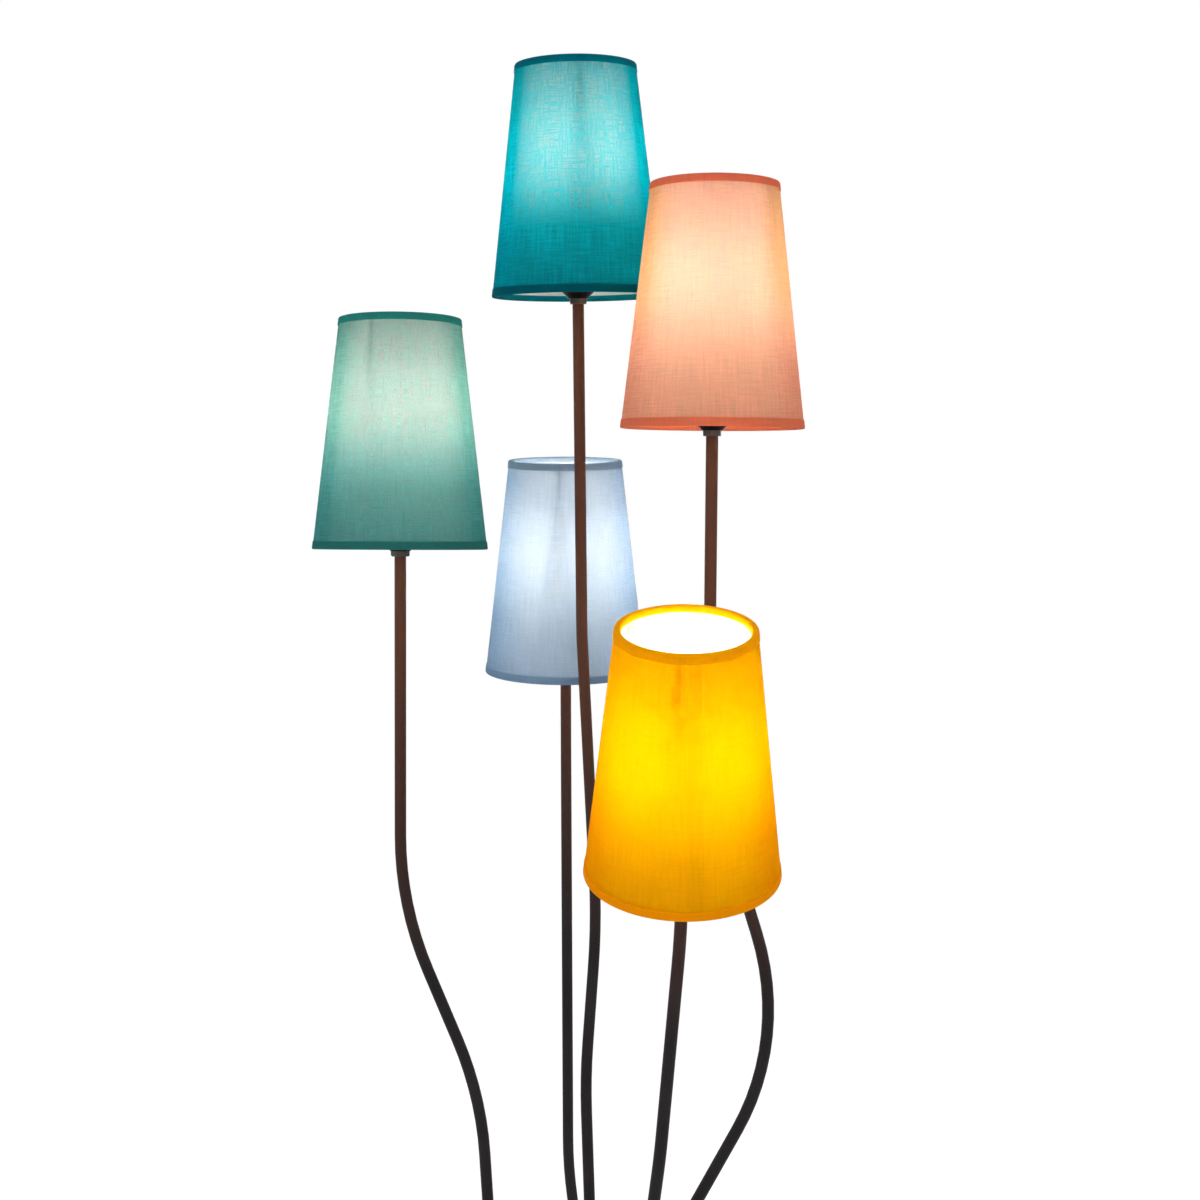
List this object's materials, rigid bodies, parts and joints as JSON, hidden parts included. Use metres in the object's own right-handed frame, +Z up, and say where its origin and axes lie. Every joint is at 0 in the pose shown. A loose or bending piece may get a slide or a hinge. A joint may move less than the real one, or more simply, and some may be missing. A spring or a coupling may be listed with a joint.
{
  "type": "tree floor lamp",
  "caption": "Floor lamp with bent tube arms that rise from a weighted round base, each carrying an upright candle bulb in a tapered fabric shade of its own colour.",
  "frame": {"origin": "middle of the base's underside, on the floor", "axes": "+Z up; the picture looks along +Y with +X to its right, so the cord inlet is at the rear, on +Y"},
  "size_m": [0.412, 0.5114, 1.601],
  "materials": {
    "black_paint": "satin powder coat",
    "casting": "raw casting",
    "zinc": "zinc plated",
    "felt": "pressed felt",
    "gland_plastic": "moulded",
    "terminal_plastic": "moulded",
    "holder_plastic": "moulded",
    "ceramic": "glazed ceramic",
    "bulb_glass": "frosted",
    "white_wire": "white coated wire",
    "teal_cloth": "slub weave",
    "orange_cloth": "slub weave",
    "green_cloth": "slub weave",
    "blue_cloth": "slub weave",
    "yellow_cloth": "slub weave",
    "teal_trim": "bias tape",
    "orange_trim": "bias tape",
    "green_trim": "bias tape",
    "blue_trim": "bias tape",
    "yellow_trim": "bias tape"
  },
  "bodies": {
    "base": {"base_cover": "black_paint", "base_weight": "casting", "service_plate": "zinc", "felt_pad": "felt", "hub": "black_paint", "hub_bolts": "zinc", "grub_screws": "zinc", "cord_gland": "gland_plastic", "gland_nut": "gland_plastic", "terminal_block": "terminal_plastic"},
    "teal_arm": {"teal_stem": "black_paint", "teal_stem_nut": "black_paint", "teal_holder_cap": "black_paint", "teal_holder_sleeve": "holder_plastic", "teal_holder_core": "ceramic", "teal_shade_ring": "holder_plastic", "teal_bulb": "bulb_glass", "teal_shade_frame": "white_wire", "teal_shade": "teal_cloth", "teal_shade_bands": "teal_trim"},
    "orange_arm": {"orange_stem": "black_paint", "orange_stem_nut": "black_paint", "orange_holder_cap": "black_paint", "orange_holder_sleeve": "holder_plastic", "orange_holder_core": "ceramic", "orange_shade_ring": "holder_plastic", "orange_bulb": "bulb_glass", "orange_shade_frame": "white_wire", "orange_shade": "orange_cloth", "orange_shade_bands": "orange_trim"},
    "green_arm": {"green_stem": "black_paint", "green_stem_nut": "black_paint", "green_holder_cap": "black_paint", "green_holder_sleeve": "holder_plastic", "green_holder_core": "ceramic", "green_shade_ring": "holder_plastic", "green_bulb": "bulb_glass", "green_shade_frame": "white_wire", "green_shade": "green_cloth", "green_shade_bands": "green_trim"},
    "blue_arm": {"blue_stem": "black_paint", "blue_stem_nut": "black_paint", "blue_holder_cap": "black_paint", "blue_holder_sleeve": "holder_plastic", "blue_holder_core": "ceramic", "blue_shade_ring": "holder_plastic", "blue_bulb": "bulb_glass", "blue_shade_frame": "white_wire", "blue_shade": "blue_cloth", "blue_shade_bands": "blue_trim"},
    "yellow_arm": {"yellow_stem": "black_paint", "yellow_stem_nut": "black_paint", "yellow_holder_cap": "black_paint", "yellow_holder_sleeve": "holder_plastic", "yellow_holder_core": "ceramic", "yellow_shade_ring": "holder_plastic", "yellow_bulb": "bulb_glass", "yellow_shade_frame": "white_wire", "yellow_shade": "yellow_cloth", "yellow_shade_bands": "yellow_trim"}
  },
  "joints": [
    {"name": "teal_swivel", "type": "hinge", "parent": "base", "child": "teal_arm", "pos_m": [0, 0, 0.0755], "axis": [0, 0, 1], "range_deg": [-12, 45]},
    {"name": "orange_swivel", "type": "hinge", "parent": "base", "child": "orange_arm", "pos_m": [0.028, 0, 0.0755], "axis": [0, 0, 1], "range_deg": [-45, 20]},
    {"name": "green_swivel", "type": "hinge", "parent": "base", "child": "green_arm", "pos_m": [-0.028, 0, 0.0755], "axis": [0, 0, 1], "range_deg": [-15, 45]},
    {"name": "blue_swivel", "type": "hinge", "parent": "base", "child": "blue_arm", "pos_m": [0, 0.028, 0.0755], "axis": [0, 0, 1], "range_deg": [-45, 15]},
    {"name": "yellow_swivel", "type": "hinge", "parent": "base", "child": "yellow_arm", "pos_m": [0, -0.028, 0.0755], "axis": [0, 0, 1], "range_deg": [-45, 20]}
  ]
}
